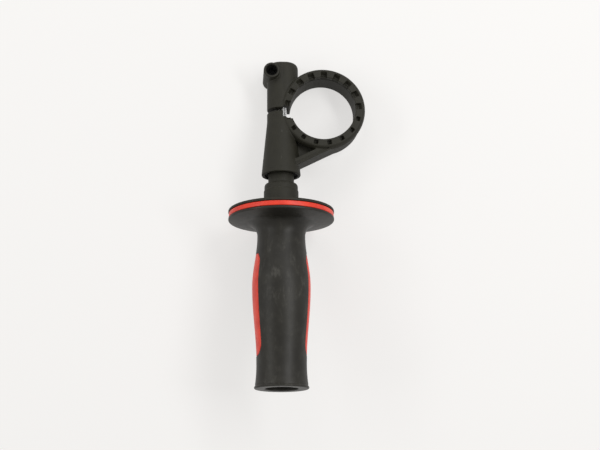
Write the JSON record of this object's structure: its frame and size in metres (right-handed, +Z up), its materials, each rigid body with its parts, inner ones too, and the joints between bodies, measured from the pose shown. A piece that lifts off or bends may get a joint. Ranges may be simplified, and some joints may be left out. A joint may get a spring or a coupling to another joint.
{
  "type": "power tool side handle",
  "caption": "Drill side handle: hollow soft grip with red side windows and round flange, screwed to a split toothed clamp ring with a depth rod tube.",
  "frame": {"origin": "on the ground plane, under the middle of the resting handle's box", "axes": "+Y along the handle towards the clamp, +X towards the side the ring is on, +Z up; the clamp end dips by 13.0 degrees as it rests"},
  "size_m": [0.093, 0.2236, 0.0787],
  "materials": {
    "black_nylon": "satin",
    "core_nylon": "satin",
    "soft_black": "matte",
    "red_moulding": "satin",
    "zinc_steel": "satin"
  },
  "bodies": {
    "clamp": {"clamp_body": "black_nylon", "clamp_bolt": "zinc_steel"},
    "washer": {"thrust_washer": "zinc_steel"},
    "grip": {"grip_core": "core_nylon", "red_shell": "red_moulding", "grip_sleeve": "soft_black", "captive_nut": "zinc_steel"}
  },
  "joints": [
    {"name": "grip_travel", "type": "slide", "parent": "clamp", "child": "washer", "axis": [0, -0.9746, 0.2242], "range_m": [0, 0.0122]},
    {"name": "grip_turn", "type": "hinge", "parent": "washer", "child": "grip", "pos_m": [-0.01105, 0.00517, 0.0353], "axis": [0, -0.9746, 0.2242], "range_deg": [0, 3510]}
  ],
  "couplings": [
    {"joint": "grip_travel", "follows": "grip_turn", "m_per_rad": 0.00019894}
  ]
}
